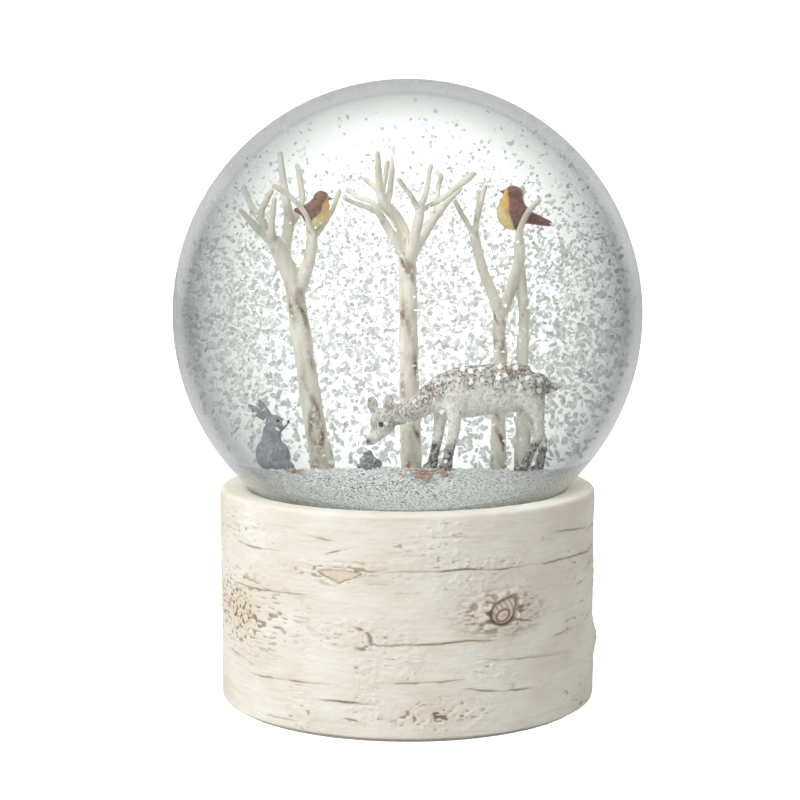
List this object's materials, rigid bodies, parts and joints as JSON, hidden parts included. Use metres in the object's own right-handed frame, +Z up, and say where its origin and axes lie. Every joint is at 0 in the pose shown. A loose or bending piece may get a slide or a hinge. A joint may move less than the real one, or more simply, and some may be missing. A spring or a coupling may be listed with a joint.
{
  "type": "snow globe",
  "caption": "Water-filled glass snow globe with a winter woodland scene, on a hollow birch-bark base that holds a wind-up musical movement.",
  "frame": {"origin": "middle of the base's underside, on the plane it rests on", "axes": "+Z up through the glass ball's centre; -Y is the front, the side from which the fawn is seen in profile facing -X"},
  "size_m": [0.1, 0.1, 0.1327],
  "materials": {
    "glass": "clear blown glass, filled with clear liquid",
    "rubber": "moulded black rubber",
    "silicone": "cured clear silicone adhesive",
    "snow_resin": "cast resin painted as snow, with dark grit and glitter",
    "loose_snow": "small loose white plastic flakes",
    "tree_bark": "cast resin painted ivory with brown birch marks",
    "robin_paint": "hand-painted resin, brown back and orange to yellow breast",
    "fawn_paint": "hand-painted resin, pale grey coat with dark flecks and white spots",
    "rabbit_paint": "hand-painted grey resin with pale flecks",
    "rock_paint": "hand-painted grey resin",
    "leaf_paint": "hand-painted orange-brown resin",
    "birch_resin": "cast resin with birch-bark relief, cream with a brown wash",
    "cover_plastic": "moulded plastic sheet",
    "felt": "dark self-adhesive felt",
    "zinc": "die-cast zinc",
    "brass": "satin",
    "steel": "satin",
    "chrome": "bright nickel or chrome plate"
  },
  "bodies": {
    "globe_and_base": {"glass_globe": "glass", "globe_plug": "rubber", "seal_ring": "silicone", "snow_ground": "snow_resin", "settled_snow": "loose_snow", "tree_left": "tree_bark", "tree_centre": "tree_bark", "tree_right": "tree_bark", "robin_left": "robin_paint", "robin_right": "robin_paint", "fawn": "fawn_paint", "rabbit": "rabbit_paint", "snowy_rock": "rock_paint", "leaf_litter": "leaf_paint", "birch_base": "birch_resin", "neck_seat": "cover_plastic", "base_cover": "cover_plastic", "felt_ring": "felt", "cover_screw_1": "steel", "cover_screw_2": "steel", "cover_screw_3": "steel", "movement_plate": "zinc", "movement_screw_1": "steel", "movement_screw_2": "steel", "movement_screw_3": "steel", "spring_barrel": "brass", "mainspring": "steel", "tune_comb": "steel", "comb_bracket": "zinc", "comb_screw_1": "steel", "comb_screw_2": "steel", "governor_frame": "zinc"},
    "winding_train": {"winding_key": "chrome", "winding_arbor": "steel", "great_wheel": "brass"},
    "cylinder_train": {"pin_cylinder": "brass", "cylinder_arbor": "steel", "cylinder_pinion": "brass", "cylinder_wheel": "brass"},
    "governor_wheels": {"governor_arbor": "steel", "governor_pinion": "brass", "worm_wheel": "brass"},
    "fan": {"air_brake": "steel"}
  },
  "joints": [
    {"name": "key_turn", "type": "hinge", "parent": "globe_and_base", "child": "winding_train", "pos_m": [-0.012, 0, 0.005], "axis": [0, 0, 1], "range_deg": [0, 1350]},
    {"name": "cylinder_spin", "type": "hinge", "parent": "globe_and_base", "child": "cylinder_train", "pos_m": [0.008, 0, 0.025], "axis": [1, 0, 0], "continuous": true},
    {"name": "governor_spin", "type": "hinge", "parent": "globe_and_base", "child": "governor_wheels", "pos_m": [0.0185, 0.0072, 0.025], "axis": [1, 0, 0], "continuous": true},
    {"name": "fan_spin", "type": "hinge", "parent": "globe_and_base", "child": "fan", "pos_m": [0.0221, 0.0122, 0.02], "axis": [0, 0, 1], "continuous": true}
  ],
  "couplings": [
    {"joint": "cylinder_spin", "follows": "key_turn", "ratio": 3},
    {"joint": "governor_spin", "follows": "key_turn", "ratio": -9},
    {"joint": "fan_spin", "follows": "key_turn", "ratio": 162}
  ]
}
